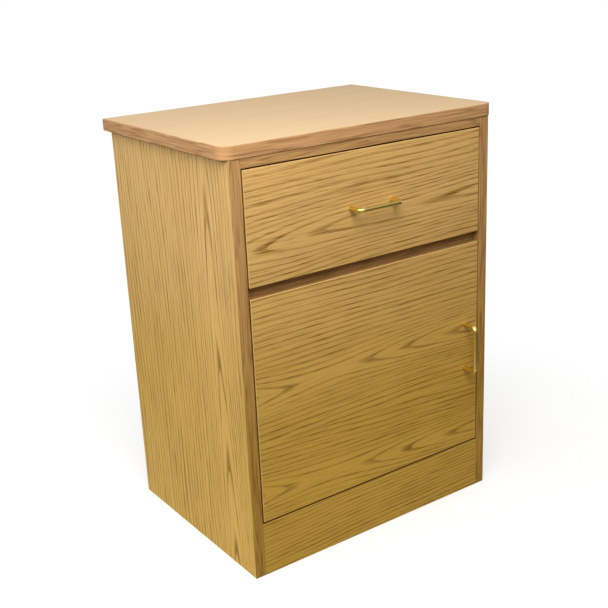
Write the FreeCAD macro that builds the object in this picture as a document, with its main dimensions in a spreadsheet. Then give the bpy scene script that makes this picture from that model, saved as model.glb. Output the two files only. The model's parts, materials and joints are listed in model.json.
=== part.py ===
import FreeCAD, Part
import Sketcher
import os

# Bedside cabinet with one drawer over one cupboard, in millimetres.
# X runs across the width, Y from the front (-) to the back (+), Z up from the floor.
# The origin is on the floor, in the middle of the whole object's box.

doc = FreeCAD.newDocument("bedside_cabinet")

# ---------------------------------------------------------------- driving sizes
SIZES = [
    ("height", 762.0),
    ("body_width", 548.0),
    ("body_depth", 410.0),
    ("side_panel", 20.0),
    ("top_core", 19.2),
    ("top_laminate", 1.2),
    ("top_side_overhang", 12.2),
    ("top_front_overhang", 1.8),
    ("top_back_overhang", 6.0),
    ("top_corner_radius", 22.0),
    ("top_band", 2.0),
    ("panel_band", 1.5),
    ("front_band", 1.0),
    ("front_panel", 16.0),
    ("front_gap", 2.7),
    ("front_setback", 1.5),
    ("kick_height", 101.7),
    ("kick_panel", 18.0),
    ("drawer_front_height", 191.5),
    ("rail_opening", 19.4),
    ("door_lap", 6.3),
    ("shelf_board", 19.0),
    ("top_rail", 16.0),
    ("top_rail_depth", 80.0),
    ("back_panel", 6.0),
    ("back_rebate", 8.0),
    ("pull_reach", 33.0),
    ("pull_wire", 8.0),
    ("pull_centres", 88.9),
    ("pull_bend", 9.0),
    ("door_pull_inset", 31.0),
    ("pull_screw", 4.0),
    ("pull_screw_bite", 12.0),
    ("screw_head", 8.0),
    ("screw_head_height", 2.4),
    ("screw_clearance", 0.2),
    ("wood_screw", 4.0),
    ("shelf_height", 300.0),
    ("shelf_front_setback", 45.0),
    ("shelf_side_gap", 1.0),
    ("shelf_pin", 5.0),
    ("shelf_pin_collar", 8.0),
    ("shelf_pin_bite", 9.0),
    ("shelf_pin_reach", 9.0),
    ("shelf_hole_pitch", 32.0),
    ("shelf_hole_margin", 80.0),
    ("box_side", 12.0),
    ("box_top_drop", 29.2),
    ("box_back_gap", 38.0),
    ("box_bottom", 6.0),
    ("box_bottom_raise", 10.0),
    ("box_groove", 6.0),
    ("fit_gap", 0.3),
    ("runner_gap", 13.0),
    ("runner_steel", 1.2),
    ("runner_height", 26.4),
    ("runner_reach", 11.0),
    ("runner_raise", 6.0),
    ("runner_front_setback", 20.0),
    ("front_roller", 14.0),
    ("rear_roller", 22.0),
    ("roller_inset", 12.0),
    ("roller_width", 8.0),
    ("roller_axle", 5.0),
    ("axle_play", 0.1),
    ("bumper", 5.0),
    ("bumper_height", 1.2),
    ("back_screw_bite", 22.0),
    ("back_screw_head", 1.6),
    ("back_screw_inset", 39.0),
    ("top_screw_bite", 13.0),
    ("top_screw_inset", 74.0),
    ("shelf_back_gap", 4.0),
    ("front_screw_margin", 35.0),
    ("front_screw_inset", 49.0),
    ("front_screw_bite", 12.0),
    ("runner_clearance", 0.6),
    ("runner_screw_first", 60.0),
    ("runner_screw_last", 70.0),
    ("small_head", 6.0),
    ("thin_head", 0.6),
    ("short_bite", 9.0),
    ("bumper_inset", 51.3),
    ("hinge_end_distance", 75.0),
    ("hinge_front_wall", 1.8),
    ("hinge_back_wall", 1.0),
    ("hinge_barrel_length", 15.0),
    ("hinge_barrel_play", 0.05),
    ("hinge_pivot_depth", 10.0),
    ("hinge_pivot_back", 4.5),
    ("hinge_link_half", 1.25),
    ("hinge_link_thick", 3.0),
    ("hinge_link_eye", 4.4),
    ("hinge_slot_play", 0.1),
    ("hinge_slot_depth", 12.8),
    ("hinge_pin", 2.5),
    ("hinge_pin_play", 0.05),
    ("hinge_pin_length", 8.0),
]

sheet = doc.addObject("Spreadsheet::Sheet", "Sizes")
for row, (alias, value) in enumerate(SIZES, start=1):
    sheet.set("A%d" % row, alias)
    sheet.set("B%d" % row, str(value))
    sheet.setAlias("B%d" % row, alias)
doc.recompute()

X_AXIS = FreeCAD.Vector(1, 0, 0)
Y_AXIS = FreeCAD.Vector(0, 1, 0)
Z_AXIS = FreeCAD.Vector(0, 0, 1)
TINY = 1e-6


class Size:
    """An expression on the sheet's cells, so that sizes add up as they are read."""

    def __init__(self, text):
        self.text = text

    def __add__(self, other):
        return Size("(%s + %s)" % (self.text, text_of(other)))

    def __radd__(self, other):
        return Size("(%s + %s)" % (text_of(other), self.text))

    def __sub__(self, other):
        return Size("(%s - %s)" % (self.text, text_of(other)))

    def __rsub__(self, other):
        return Size("(%s - %s)" % (text_of(other), self.text))

    def __mul__(self, other):
        return Size("(%s * %s)" % (self.text, text_of(other)))

    def __rmul__(self, other):
        return Size("(%s * %s)" % (text_of(other), self.text))

    def __truediv__(self, other):
        return Size("(%s / %s)" % (self.text, text_of(other)))

    def __neg__(self):
        return Size("(0 - %s)" % self.text)

    def value(self):
        """The number this expression gives with the sheet as it stands."""
        return float(sheet.evalExpression(self.text))


def text_of(value):
    """The expression text of a Size or of a plain number."""
    return value.text if isinstance(value, Size) else repr(float(value))


def number(value):
    """The number behind a Size or a plain number."""
    return value.value() if isinstance(value, Size) else float(value)


class Cells:
    """Each cell of the sheet by its alias, as in size.height."""

    def __getattr__(self, alias):
        return Size("Sizes." + alias)


size = Cells()

# ---------------------------------------------------------------- places worked out once
front = 0.5 * (size.pull_reach - size.body_depth - size.top_back_overhang)
back = front + size.body_depth
inner_back = back - size.back_panel
inside = 0.5 * size.body_width - size.side_panel
under_top = size.height - size.top_core - 2 * size.top_laminate
rail_under = under_top - size.top_rail
fronts_back = front + size.front_panel
rail_front = fronts_back + size.front_setback
fronts_half = inside - size.front_gap
fronts_width = 2 * fronts_half
drawer_front_top = rail_under - size.front_gap
drawer_front_low = drawer_front_top - size.drawer_front_height
door_top = drawer_front_low - size.rail_opening
door_low = size.kick_height + size.front_gap
door_height = door_top - door_low
divider_low = door_top - size.door_lap
divider_top = divider_low + size.shelf_board
floor_low = size.kick_height - size.shelf_board
drawer_pull_z = drawer_front_low + 0.5 * size.drawer_front_height
door_pull_x = fronts_half - size.door_pull_inset
door_pull_z = door_low + 0.5 * door_height
screw_hole = 0.5 * (size.wood_screw + size.screw_clearance)
pull_hole = 0.5 * (size.pull_screw + size.screw_clearance)
hinge_barrel = size.front_panel - size.hinge_front_wall - size.hinge_back_wall
hinge_centre = front + size.hinge_front_wall + 0.5 * hinge_barrel
hinge_heights = {"upper": door_top - size.hinge_end_distance,
                 "lower": door_low + size.hinge_end_distance}

parts = []


def keep(piece):
    """Marks an object as a sub-part of the cabinet; its Label is the node's name."""
    parts.append(piece)
    return piece


def bind(thing, **properties):
    """Binds properties to sizes; two underscores in a name stand for a dot."""
    for name, value in properties.items():
        thing.setExpression(name.replace("__", "."), text_of(value))


def place(thing, x, y, z):
    """Puts a piece's own origin at x, y, z."""
    bind(thing, Placement__Base__x=x, Placement__Base__y=y, Placement__Base__z=z)


def box(label, x, y, z, width, depth, height):
    """A plain board with its lowest corner at x, y, z."""
    thing = doc.addObject("Part::Box", label)
    bind(thing, Length=width, Width=depth, Height=height)
    place(thing, x, y, z)
    return thing


# ---------------------------------------------------------------- sketches
def origin_plane(body, role):
    """One of a body's own base planes or axes, found by its role."""
    return next(plane for plane in body.Origin.OriginFeatures if plane.Role == role)


def new_sketch(body, role, offset=0):
    """A sketch on one of the body's base planes, moved along that plane's normal."""
    sketch = body.newObject("Sketcher::SketchObject", body.Label + "_sketch")
    sketch.AttachmentSupport = [(origin_plane(body, role), "")]
    sketch.MapMode = "FlatFace"
    bind(sketch, AttachmentOffset__Base__z=offset)
    return sketch


def hold(sketch, kind, *details):
    """A sketch constraint; a Size at the end of the details drives it."""
    if not isinstance(details[-1], Size):
        sketch.addConstraint(Sketcher.Constraint(kind, *details))
        return
    index = sketch.addConstraint(Sketcher.Constraint(kind, *details[:-1], number(details[-1])))
    sketch.setExpression("Constraints[%d]" % index, text_of(details[-1]))


def fix_point(sketch, geometry, point, x, y):
    """Holds a sketch point at x, y from the sketch's origin."""
    for kind, value, axis in (("DistanceX", x, -2), ("DistanceY", y, -1)):
        if isinstance(value, Size):
            hold(sketch, kind, -1, 1, geometry, point, value)
        elif value == 0:
            hold(sketch, "PointOnObject", geometry, point, axis)
        else:
            hold(sketch, kind, -1, 1, geometry, point, float(value))


def draw_outline(sketch, corners):
    """A closed outline with straight sides through its corners."""
    first = sketch.GeometryCount
    places = [FreeCAD.Vector(number(x), number(y), 0) for x, y in corners]
    count = len(places)
    for index in range(count):
        side = Part.LineSegment(places[index], places[(index + 1) % count])
        sketch.addGeometry(side, False)
    for index, (x, y) in enumerate(corners):
        hold(sketch, "Coincident", first + index, 2, first + (index + 1) % count, 1)
        fix_point(sketch, first + index, 1, x, y)


def draw_rectangle(sketch, x, y, width, height):
    """A rectangle with its lowest corner at x, y."""
    draw_outline(sketch, [(x, y), (x + width, y), (x + width, y + height), (x, y + height)])


def draw_circle(sketch, x, y, radius):
    """A circle about x, y."""
    centre = FreeCAD.Vector(number(x), number(y), 0)
    index = sketch.addGeometry(Part.Circle(centre, Z_AXIS, number(radius)), False)
    fix_point(sketch, index, 3, x, y)
    hold(sketch, "Radius", index, radius)


# ---------------------------------------------------------------- features
def new_body(label, x, y, z):
    """An empty body with its own origin at x, y, z."""
    body = doc.addObject("PartDesign::Body", label)
    place(body, x, y, z)
    return body


def pad(body, sketch, length, towards=1):
    """Pads a sketch along its plane's normal, or against it where towards is -1."""
    feature = body.newObject("PartDesign::Pad", body.Label + "_pad")
    feature.Profile = sketch
    feature.Reversed = towards < 0
    bind(feature, Length=length)
    return feature


# A sketch on the XZ plane looks along +Y, so its normal points to the front.
NORMAL = {"XY_Plane": 1, "XZ_Plane": -1, "YZ_Plane": 1}


def pocket(body, role, at, depth, towards, draw, *details):
    """Cuts a drawn shape from a plane at a height, towards + or - along that axis."""
    sketch = new_sketch(body, role, NORMAL[role] * at)
    draw(sketch, *details)
    feature = body.newObject("PartDesign::Pocket", body.Label + "_pocket")
    feature.Profile = sketch
    feature.Reversed = towards * NORMAL[role] > 0
    bind(feature, Length=depth)
    return feature


def draw_circles(sketch, centres, radius):
    """Several circles of one size."""
    for x, y in centres:
        draw_circle(sketch, x, y, radius)


def machined_board(label, x, y, z, width, depth, height):
    """A board that gets rebates, grooves or holes later."""
    body = new_body(label, x, y, z)
    outline = new_sketch(body, "XY_Plane")
    draw_rectangle(outline, 0, 0, width, depth)
    pad(body, outline, height)
    return body


def mirrored(label, piece):
    """The same piece on the right-hand side of the cabinet."""
    twin = doc.addObject("Part::Mirroring", label)
    twin.Source = piece
    twin.Normal = X_AXIS
    return twin


def cut(label, base, tool):
    """One piece with another's shape taken out of it."""
    thing = doc.addObject("Part::Cut", label)
    thing.Base = base
    thing.Tool = tool
    return thing


def band_round(label, x, z, width, height):
    """The edge band round a front panel, open in the middle where the board is."""
    depth = size.front_panel
    skin = size.front_band
    outer = box(label + "_outer", x, front, z, width, depth, height)
    inner = box(label + "_inner", x + skin, front, z + skin,
                width - 2 * skin, depth, height - 2 * skin)
    return cut(label, outer, inner)


def turned_cylinder(label, seat, direction, radius, length):
    """A cylinder that starts at a seat and runs along a direction."""
    rod = doc.addObject("Part::Cylinder", label)
    rod.Placement = FreeCAD.Placement(FreeCAD.Vector(), FreeCAD.Rotation(Z_AXIS, direction))
    bind(rod, Radius=radius, Height=length)
    place(rod, *seat)
    return rod


def moved(seat, direction, distance):
    """A seat moved along a direction."""
    steps = (direction.x, direction.y, direction.z)
    return tuple(at + step * distance if step else at for at, step in zip(seat, steps))


def headed_pin(label, seat, direction, radius, length, head, head_height):
    """A pin or screw whose head stands on the seat and whose stem runs along the direction."""
    stem = turned_cylinder(label + "_stem", seat, direction, radius, length)
    top = moved(seat, direction, -head_height)
    cap = turned_cylinder(label + "_head", top, direction, 0.5 * head, head_height)
    whole = doc.addObject("Part::Fuse", label)
    whole.Base = stem
    whole.Tool = cap
    return whole


def screw_set(label, seats, direction, thickness, length, head, head_height):
    """One node of like screws, each a solid of its own."""
    group = doc.addObject("Part::Compound", label)
    group.Links = [
        headed_pin("%s_%d" % (label, index), seat, direction,
                   0.5 * thickness, length, head, head_height)
        for index, seat in enumerate(seats, start=1)]
    return keep(group)


# ---------------------------------------------------------------- top
def rounded_board(label, inset, z, thickness):
    """A board of the top's outline, drawn in by an inset, with its front corners rounded."""
    width = size.body_width + 2 * size.top_side_overhang - 2 * inset
    depth = size.body_depth + size.top_front_overhang + size.top_back_overhang - 2 * inset
    body = new_body(label, -0.5 * width, front - size.top_front_overhang + inset, z)
    outline = new_sketch(body, "XY_Plane")
    radius = size.top_corner_radius - inset
    corners = [(radius, 0), (width - radius, 0), (width, radius),
               (width, depth), (0, depth), (0, radius)]
    places = [FreeCAD.Vector(number(x), number(y), 0) for x, y in corners]
    centres = {1: (width - radius, radius), 5: (radius, radius)}
    for index in range(len(corners)):
        start, end = places[index], places[(index + 1) % len(corners)]
        if index in centres:
            middle = FreeCAD.Vector(*[number(value) for value in centres[index]], 0)
            away = (start + end) * 0.5 - middle
            on_arc = middle + away.normalize() * number(radius)
            outline.addGeometry(Part.Arc(start, on_arc, end), False)
        else:
            outline.addGeometry(Part.LineSegment(start, end), False)
    arcs_reversed = {index for index in centres
                     if (outline.Geometry[index].StartPoint - places[index]).Length > TINY}
    for index, (x, y) in enumerate(corners):
        following = (index + 1) % len(corners)
        end_point = 1 if index in arcs_reversed else 2
        start_point = 2 if following in arcs_reversed else 1
        hold(outline, "Coincident", index, end_point, following, start_point)
    for index in (0, 2, 3, 4):
        x, y = corners[index]
        fix_point(outline, index, 1, x, y)
    fix_point(outline, 0, 2, *corners[1])
    fix_point(outline, 4, 2, *corners[5])
    for index in centres:
        hold(outline, "Radius", index, radius)
    pad(body, outline, thickness)
    return body


def build_top():
    """The top: core, laminate above, backer below and one band round the whole edge."""
    thickness = size.height - under_top
    core = keep(rounded_board("top_core", size.top_band, under_top + size.top_laminate,
                              size.top_core))
    backer = keep(rounded_board("top_backer", size.top_band, under_top, size.top_laminate))
    keep(rounded_board("top_laminate", size.top_band, size.height - size.top_laminate,
                       size.top_laminate))
    rim = rounded_board("top_outline", 0, under_top, thickness)
    middle = rounded_board("top_middle", size.top_band, under_top, thickness)
    keep(cut("top_edge_band", rim, middle))
    return core, backer


# ---------------------------------------------------------------- carcass boards
PIN_HOLES = 7


def build_side():
    """A left side panel with its rear rebate, shelf pin holes and runner screw holes."""
    depth = size.body_depth - size.panel_band
    panel = machined_board("side_board", -inside - size.side_panel,
                           front + size.panel_band, 0, size.side_panel, depth, under_top)
    pocket(panel, "XY_Plane", floor_low, under_top - floor_low, 1, draw_rectangle,
           size.side_panel - size.back_rebate, depth - size.back_panel,
           size.back_rebate, size.back_panel)
    lowest = shelf_pin_z - 0.5 * (PIN_HOLES - 1) * size.shelf_hole_pitch
    row = [(y - size.panel_band, lowest) for y in shelf_hole_ys]
    holes = pocket(panel, "YZ_Plane", size.side_panel, size.shelf_pin_bite + size.fit_gap, -1,
                   draw_circles, row, 0.5 * size.shelf_pin + size.axle_play)
    column = panel.newObject("PartDesign::LinearPattern", "side_pin_holes")
    column.Originals = [holes]
    column.Direction = (origin_plane(panel, "Z_Axis"), [""])
    column.Occurrences = PIN_HOLES
    bind(column, Length=(PIN_HOLES - 1) * size.shelf_hole_pitch)
    panel.Tip = column
    drill_for_runner(panel)
    return panel


def build_carcass():
    """Side panels, rails, divider, floor, kick, back and the bands on their front edges."""
    board = build_side()
    keep(cut("side_panel_left", board, hinge_bores))
    keep(mirrored("side_panel_right", board))
    band = keep(box("side_edge_band_left", -inside - size.side_panel, front, 0,
                    size.side_panel, size.panel_band, under_top))
    keep(mirrored("side_edge_band_right", band))

    width = 2 * inside
    rail = machined_board("top_front_rail", -inside, front + size.panel_band, rail_under,
                          width, size.top_rail_depth - size.panel_band, size.top_rail)
    rear = machined_board("top_rear_rail", -inside, inner_back - size.top_rail_depth,
                          rail_under, width, size.top_rail_depth, size.top_rail)
    for board in (rail, rear):
        centres = [(inside + x, 0.5 * size.top_rail_depth) for x in top_screw_xs]
        pocket(board, "XY_Plane", 0, size.top_rail, 1, draw_circles, centres, screw_hole)
        keep(board)
    keep(box("top_rail_edge_band", -inside, front, rail_under, width, size.panel_band,
             size.top_rail))

    divider_front = rail_front + size.panel_band
    divider = machined_board("divider_panel", -inside, divider_front, divider_low,
                             width, inner_back - divider_front, size.shelf_board)
    keep(box("divider_edge_band", -inside, rail_front, divider_low, width, size.panel_band,
             size.shelf_board))
    floor_front = front + size.kick_panel
    floor = machined_board("bottom_panel", -inside, floor_front, floor_low,
                           width, inner_back - floor_front, size.shelf_board)
    for board, board_front in ((divider, divider_front), (floor, floor_front)):
        drill_from_back(board, inner_back - board_front, 0.5 * size.shelf_board)
        keep(board)
    drill_from_back(rear, size.top_rail_depth, 0.5 * size.top_rail)

    keep(box("kick_panel", -inside, front, 0, width, size.kick_panel, size.kick_height))
    keep(box("base_rear_rail", -inside, inner_back - size.kick_panel, 0, width,
             size.kick_panel, floor_low))

    panel_half = inside + size.back_rebate
    panel = machined_board("back_panel", -panel_half, inner_back, floor_low,
                           2 * panel_half, size.back_panel, under_top - floor_low)
    centres = [(panel_half + x, z - floor_low) for x in back_screw_xs for z in back_screw_zs]
    pocket(panel, "XZ_Plane", 0, size.back_panel, 1, draw_circles, centres, screw_hole)
    keep(panel)


def drill_from_back(board, depth, middle):
    """Pilot holes for the back panel's screws in a board's rear edge."""
    centres = [(inside + x, middle) for x in back_screw_xs]
    pocket(board, "XZ_Plane", depth, size.back_screw_bite + size.fit_gap, -1,
           draw_circles, centres, screw_hole)


shelf_low = size.shelf_height - size.shelf_board
shelf_pin_z = shelf_low - 0.5 * size.shelf_pin
shelf_hole_ys = [size.shelf_hole_margin, size.body_depth - size.shelf_hole_margin]
top_screw_xs = [size.top_screw_inset - inside, inside - size.top_screw_inset]
back_screw_xs = [size.back_screw_inset - inside, 0, inside - size.back_screw_inset]
back_screw_zs = [floor_low + 0.5 * size.shelf_board, divider_low + 0.5 * size.shelf_board,
                 rail_under + 0.5 * size.top_rail]


def build_carcass_screws():
    """Screws up through the rails into the top, and through the back panel."""
    bite = size.top_laminate + size.top_screw_bite
    length = size.top_rail + bite
    top_x = 0.5 * size.body_width + size.top_side_overhang - size.top_band
    top_y = front - size.top_front_overhang + size.top_band
    seats_y = [front + size.panel_band + 0.5 * size.top_rail_depth,
               inner_back - 0.5 * size.top_rail_depth]
    seats = [(x, y, rail_under) for x in top_screw_xs for y in seats_y]
    holes = [(top_x + x, y - top_y) for x in top_screw_xs for y in seats_y]
    pocket(top_backer, "XY_Plane", 0, size.top_laminate, 1, draw_circles, holes, screw_hole)
    pocket(top_core, "XY_Plane", 0, size.top_screw_bite + size.fit_gap, 1, draw_circles,
           holes, screw_hole)
    screw_set("top_fixing_screws", seats, Z_AXIS, size.wood_screw, length,
              size.screw_head, size.screw_head_height)
    seats = [(x, back, z) for x in back_screw_xs for z in back_screw_zs]
    screw_set("back_panel_screws", seats, -Y_AXIS, size.wood_screw,
              size.back_panel + size.back_screw_bite, size.screw_head, size.back_screw_head)


def build_shelf():
    """The loose shelf on its four pins."""
    half = inside - size.shelf_side_gap
    start = front + size.shelf_front_setback
    depth = inner_back - size.shelf_back_gap - start
    keep(box("shelf_panel", -half, start + size.panel_band, shelf_low, 2 * half,
             depth - size.panel_band, size.shelf_board))
    keep(box("shelf_edge_band", -half, start, shelf_low, 2 * half, size.panel_band,
             size.shelf_board))
    pins = []
    for side in (-1, 1):
        inward = -side * X_AXIS
        for name, y in zip(("front", "back"), shelf_hole_ys):
            label = "shelf_pin_%s_%s" % ("left" if side < 0 else "right", name)
            seat = (side * inside, front + y, shelf_pin_z)
            stem = turned_cylinder(label + "_stem", moved(seat, inward, -size.shelf_pin_bite),
                                   inward, 0.5 * size.shelf_pin,
                                   size.shelf_pin_bite + size.shelf_pin_reach)
            collar = turned_cylinder(label + "_collar", seat, inward,
                                     0.5 * size.shelf_pin_collar, 0.8 * size.shelf_side_gap)
            pin = doc.addObject("Part::Fuse", label)
            pin.Base = stem
            pin.Tool = collar
            pins.append(pin)
    group = doc.addObject("Part::Compound", "shelf_pins")
    group.Links = pins
    keep(group)


# ---------------------------------------------------------------- hinges
def build_hinge_bores():
    """The blind bores for both hinges' barrels, straight across the gap by the door."""
    bores = doc.addObject("Part::Compound", "hinge_bores")
    reach = size.hinge_barrel_length
    bores.Links = [
        turned_cylinder("hinge_bore_" + name, (-inside - reach, hinge_centre, z), X_AXIS,
                        0.5 * hinge_barrel + size.hinge_barrel_play,
                        2 * reach + size.front_gap)
        for name, z in hinge_heights.items()]
    return bores


def build_barrel(label, mouth_x, z, towards):
    """A slotted barrel that runs from its mouth into a board, with its pivot's hole."""
    barrel = new_body(label, mouth_x, hinge_centre, z)
    end = new_sketch(barrel, "YZ_Plane")
    draw_circle(end, 0, 0, 0.5 * hinge_barrel)
    pad(barrel, end, size.hinge_barrel_length, towards)
    slot_half = 0.5 * size.hinge_link_thick + size.hinge_slot_play
    pocket(barrel, "YZ_Plane", 0, size.hinge_slot_depth, towards, draw_rectangle,
           -0.5 * hinge_barrel, -slot_half, hinge_barrel, 2 * slot_half)
    pivot_y = front + size.hinge_pivot_back - hinge_centre
    pocket(barrel, "XY_Plane", -0.5 * hinge_barrel, hinge_barrel, 1, draw_circles,
           [(towards * size.hinge_pivot_depth, pivot_y)],
           0.5 * size.hinge_pin + size.hinge_pin_play)
    return keep(barrel)


def build_link(label, z):
    """An arched link with an eye and a pin at each end, so it passes round both edges."""
    span = 2 * size.hinge_pivot_depth + size.front_gap
    arch = hinge_barrel - size.hinge_pivot_back
    half = size.hinge_link_half
    link = new_body(label, -inside - size.hinge_pivot_depth, front + size.hinge_pivot_back, z)
    bar = new_sketch(link, "XY_Plane", -0.5 * size.hinge_link_thick)
    draw_outline(bar, [(0, -half), (0.5 * span, arch - half), (span, -half), (span, half),
                       (0.5 * span, arch + half), (0, half)])
    pad(link, bar, size.hinge_link_thick)
    for diameter, length in ((size.hinge_link_eye, size.hinge_link_thick),
                             (size.hinge_pin, size.hinge_pin_length)):
        ends = new_sketch(link, "XY_Plane", -0.5 * length)
        draw_circles(ends, [(0, 0), (span, 0)], 0.5 * diameter)
        pad(link, ends, length)
    return keep(link)


def build_hinges():
    """Two hidden link hinges: a barrel in the side panel, one in the door, and a link."""
    for name, z in hinge_heights.items():
        build_barrel("hinge_side_barrel_" + name, -inside, z, -1)
        build_barrel("hinge_door_barrel_" + name, -fronts_half, z, 1)
        build_link("hinge_link_" + name, z)


# ---------------------------------------------------------------- pulls
def wire_pull(label, x, z, upright):
    """A wire pull: two legs and a bar of one bent rod, tapped at both feet for a screw."""
    pull = new_body(label, x, front, z)
    if upright:
        pull.Placement.Rotation = FreeCAD.Rotation(Y_AXIS, 90)
    half = 0.5 * size.pull_centres
    bar = size.pull_reach - 0.5 * size.pull_wire
    bend = size.pull_bend
    spine = new_sketch(pull, "XY_Plane")
    corners = [(-half, 0), (-half, bend - bar), (bend - half, -bar),
               (half - bend, -bar), (half, bend - bar), (half, 0)]
    places = [FreeCAD.Vector(number(a), number(b), 0) for a, b in corners]
    reach = number(bend)
    for index in (0, 2, 4):
        spine.addGeometry(Part.LineSegment(places[index], places[index + 1]), False)
        fix_point(spine, index // 2, 1, *corners[index])
        fix_point(spine, index // 2, 2, *corners[index + 1])
    for index, centre_x, slant in ((1, bend - half, -1), (3, half - bend, 1)):
        centre = FreeCAD.Vector(number(centre_x), number(bend - bar), 0)
        outward = FreeCAD.Vector(slant, -1, 0).normalize() * reach
        arc = spine.addGeometry(
            Part.Arc(places[index], centre + outward, places[index + 1]), False)
        swapped = (spine.Geometry[arc].StartPoint - places[index]).Length > TINY
        near, far = (2, 1) if swapped else (1, 2)
        hold(spine, "Coincident", arc, near, index // 2, 2)
        hold(spine, "Coincident", arc, far, index // 2 + 1, 1)
        hold(spine, "Radius", arc, bend)
    section = new_sketch(pull, "XZ_Plane")
    draw_circle(section, -half, 0, 0.5 * size.pull_wire)
    rod = pull.newObject("PartDesign::AdditivePipe", label + "_rod")
    rod.Profile = section
    rod.Spine = (spine, ["Edge1", "Edge4", "Edge2", "Edge5", "Edge3"])
    doc.recompute()
    pocket(pull, "XZ_Plane", 0, size.pull_screw_bite + size.fit_gap, -1, draw_circles,
           [(-half, 0), (half, 0)], pull_hole)
    return keep(pull)


# ---------------------------------------------------------------- door
def build_door():
    """The door board, its band, its pull and the screws that hold the pull."""
    skin = size.front_band
    board = machined_board("door_board", skin - fronts_half, front, door_low + skin,
                           fronts_width - 2 * skin, size.front_panel, door_height - 2 * skin)
    half = 0.5 * size.pull_centres
    middle_x = door_pull_x + fronts_half - skin
    middle_z = 0.5 * door_height - skin
    pocket(board, "XZ_Plane", 0, size.front_panel, 1, draw_circles,
           [(middle_x, middle_z - half), (middle_x, middle_z + half)], pull_hole)
    keep(cut("door_panel", board, hinge_bores))
    rim = band_round("door_rim", -fronts_half, door_low, fronts_width, door_height)
    keep(cut("door_edge_band", rim, hinge_bores))
    wire_pull("door_pull", door_pull_x, door_pull_z, True)
    seats = [(door_pull_x, fronts_back, door_pull_z + step) for step in (-half, half)]
    screw_set("door_pull_screws", seats, -Y_AXIS, size.pull_screw,
              size.front_panel + size.pull_screw_bite, size.screw_head, size.screw_head_height)
    seats = [(side * (fronts_half - size.bumper_inset), fronts_back,
              door_top - 0.5 * size.door_lap) for side in (-1, 1)]
    bumpers = doc.addObject("Part::Compound", "door_bumpers")
    bumpers.Links = [
        turned_cylinder("door_bumper_%d" % index, seat, Y_AXIS, 0.5 * size.bumper,
                        size.bumper_height)
        for index, seat in enumerate(seats, start=1)]
    keep(bumpers)


# ---------------------------------------------------------------- drawer
runner_z = divider_top + size.runner_raise
channel_floor = runner_z + size.runner_steel
track_low = channel_floor + size.fit_gap + size.front_roller + size.fit_gap
box_low = channel_floor + size.runner_clearance + size.runner_steel
box_height = drawer_front_top - size.box_top_drop - box_low
box_half = inside - size.runner_gap
box_back = inner_back - size.box_back_gap
box_length = box_back - fronts_back
box_inner_half = box_half - size.box_side
box_bottom_z = box_low + size.box_bottom_raise


def build_drawer_box():
    """Two grooved sides, a grooved front, a back over the bottom, and the bottom itself."""
    side = machined_board("drawer_side_left", -box_half, fronts_back, box_low,
                          size.box_side, box_length, box_height)
    pocket(side, "YZ_Plane", size.box_side, size.box_groove, -1, draw_rectangle,
           size.box_side - size.box_groove, size.box_bottom_raise,
           box_length - size.box_side + size.box_groove, size.box_bottom)
    drill_side_for_runner(side)
    keep(side)
    keep(mirrored("drawer_side_right", side))

    face = machined_board("drawer_box_front", -box_inner_half, fronts_back, box_low,
                          2 * box_inner_half, size.box_side, box_height)
    pocket(face, "XZ_Plane", size.box_side, size.box_groove, -1, draw_rectangle,
           0, size.box_bottom_raise, 2 * box_inner_half, size.box_bottom)
    pocket(face, "XZ_Plane", 0, size.box_side, 1, draw_circles,
           [(box_inner_half + x, z - box_low) for x, z in pull_points], pull_hole)
    pocket(face, "XZ_Plane", 0, size.box_side, 1, draw_circles,
           [(box_inner_half + x, z - box_low) for x, z in front_screw_points], screw_hole)
    keep(face)
    back_low = box_bottom_z + size.box_bottom
    keep(box("drawer_box_back", -box_inner_half, box_back - size.box_side, back_low,
             2 * box_inner_half, size.box_side, box_low + box_height - back_low))
    reach = size.box_groove - size.fit_gap
    keep(box("drawer_bottom", -box_inner_half - reach, fronts_back + size.box_side - reach,
             box_bottom_z, 2 * (box_inner_half + reach),
             box_length - size.box_side + reach, size.box_bottom))


pull_points = [(side * 0.5 * size.pull_centres, drawer_pull_z) for side in (-1, 1)]
front_screw_points = [(side * (box_inner_half - size.front_screw_inset), z)
                      for side in (-1, 1)
                      for z in (box_low + size.front_screw_margin,
                                box_low + box_height - size.front_screw_margin)]


def build_drawer_front():
    """The drawer front, its band, its pull and the screws that hold them."""
    skin = size.front_band
    low = drawer_front_low + skin
    board = machined_board("drawer_front_panel", skin - fronts_half, front, low,
                           fronts_width - 2 * skin, size.front_panel,
                           size.drawer_front_height - 2 * skin)
    pocket(board, "XZ_Plane", 0, size.front_panel, 1, draw_circles,
           [(fronts_half - skin + x, z - low) for x, z in pull_points], pull_hole)
    pocket(board, "XZ_Plane", size.front_panel, size.front_screw_bite + size.fit_gap, -1,
           draw_circles, [(fronts_half - skin + x, z - low) for x, z in front_screw_points],
           screw_hole)
    keep(board)
    keep(band_round("drawer_front_band", -fronts_half, drawer_front_low, fronts_width,
                    size.drawer_front_height))
    wire_pull("drawer_pull", 0, drawer_pull_z, False)
    seat_y = fronts_back + size.box_side
    screw_set("drawer_pull_screws", [(x, seat_y, z) for x, z in pull_points], -Y_AXIS,
              size.pull_screw, size.box_side + size.front_panel + size.pull_screw_bite,
              size.screw_head, size.screw_head_height)
    screw_set("drawer_front_screws", [(x, seat_y, z) for x, z in front_screw_points], -Y_AXIS,
              size.wood_screw, size.box_side + size.front_screw_bite,
              size.screw_head, size.screw_head_height)


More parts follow.
